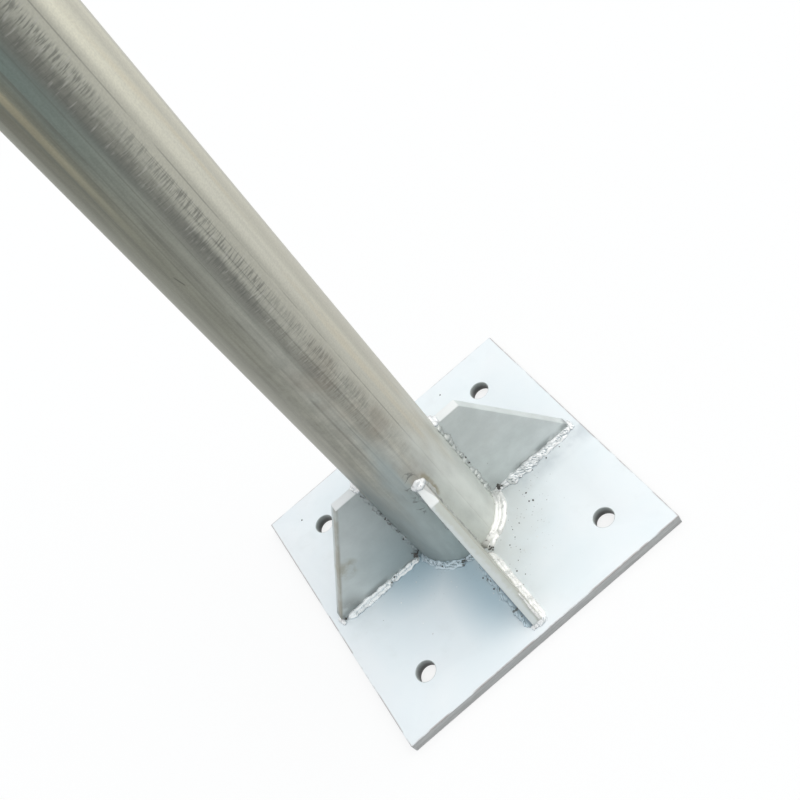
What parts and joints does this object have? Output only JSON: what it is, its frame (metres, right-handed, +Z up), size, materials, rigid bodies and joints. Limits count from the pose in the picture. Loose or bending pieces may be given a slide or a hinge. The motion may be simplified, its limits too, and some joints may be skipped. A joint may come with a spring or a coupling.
{
  "type": "flagpole",
  "caption": "Tapered tubular steel flagpole welded to a square bolt-down base plate braced by gussets, with a halyard sheave and ball finial at the top and a cleat at hand height.",
  "frame": {"origin": "centre of the base plate's underside, where it rests on its footing", "axes": "+Z up the pole; -Y is the side the picture was taken from; +X is the halyard's side"},
  "size_m": [0.25, 0.25, 4.1514],
  "materials": {
    "plate_paint": "matt silver-white spray paint over rolled steel plate",
    "pole_steel": "drawn steel tube, lengthwise brush marks and handling scratches",
    "weld_metal": "hand-laid fillet weld beads under the same silver-white paint",
    "cast_fitting": "sand-cast, lightly tumbled",
    "ball_metal": "spun and satin polished"
  },
  "bodies": {
    "root": {"base_plate": "plate_paint", "pole_shaft": "pole_steel", "gusset_right": "plate_paint", "gusset_back": "plate_paint", "gusset_left": "plate_paint", "gusset_front": "plate_paint", "ring_weld_right": "weld_metal", "ring_weld_back": "weld_metal", "ring_weld_left": "weld_metal", "ring_weld_front": "weld_metal", "foot_weld_right_a": "weld_metal", "foot_weld_right_b": "weld_metal", "foot_weld_back_a": "weld_metal", "foot_weld_back_b": "weld_metal", "foot_weld_left_a": "weld_metal", "foot_weld_left_b": "weld_metal", "foot_weld_front_a": "weld_metal", "foot_weld_front_b": "weld_metal", "seam_weld_right_a": "weld_metal", "seam_weld_right_b": "weld_metal", "seam_weld_back_a": "weld_metal", "seam_weld_back_b": "weld_metal", "seam_weld_left_a": "weld_metal", "seam_weld_left_b": "weld_metal", "seam_weld_front_a": "weld_metal", "seam_weld_front_b": "weld_metal", "top_weld_right": "weld_metal", "top_weld_back": "weld_metal", "top_weld_left": "weld_metal", "top_weld_front": "weld_metal", "toe_weld_right": "weld_metal", "toe_weld_back": "weld_metal", "toe_weld_left": "weld_metal", "toe_weld_front": "weld_metal", "truck_body": "cast_fitting", "sheave": "cast_fitting", "sheave_pin": "pole_steel", "finial_stem": "cast_fitting", "finial_ball": "ball_metal", "cleat": "cast_fitting"}
  },
  "joints": []
}
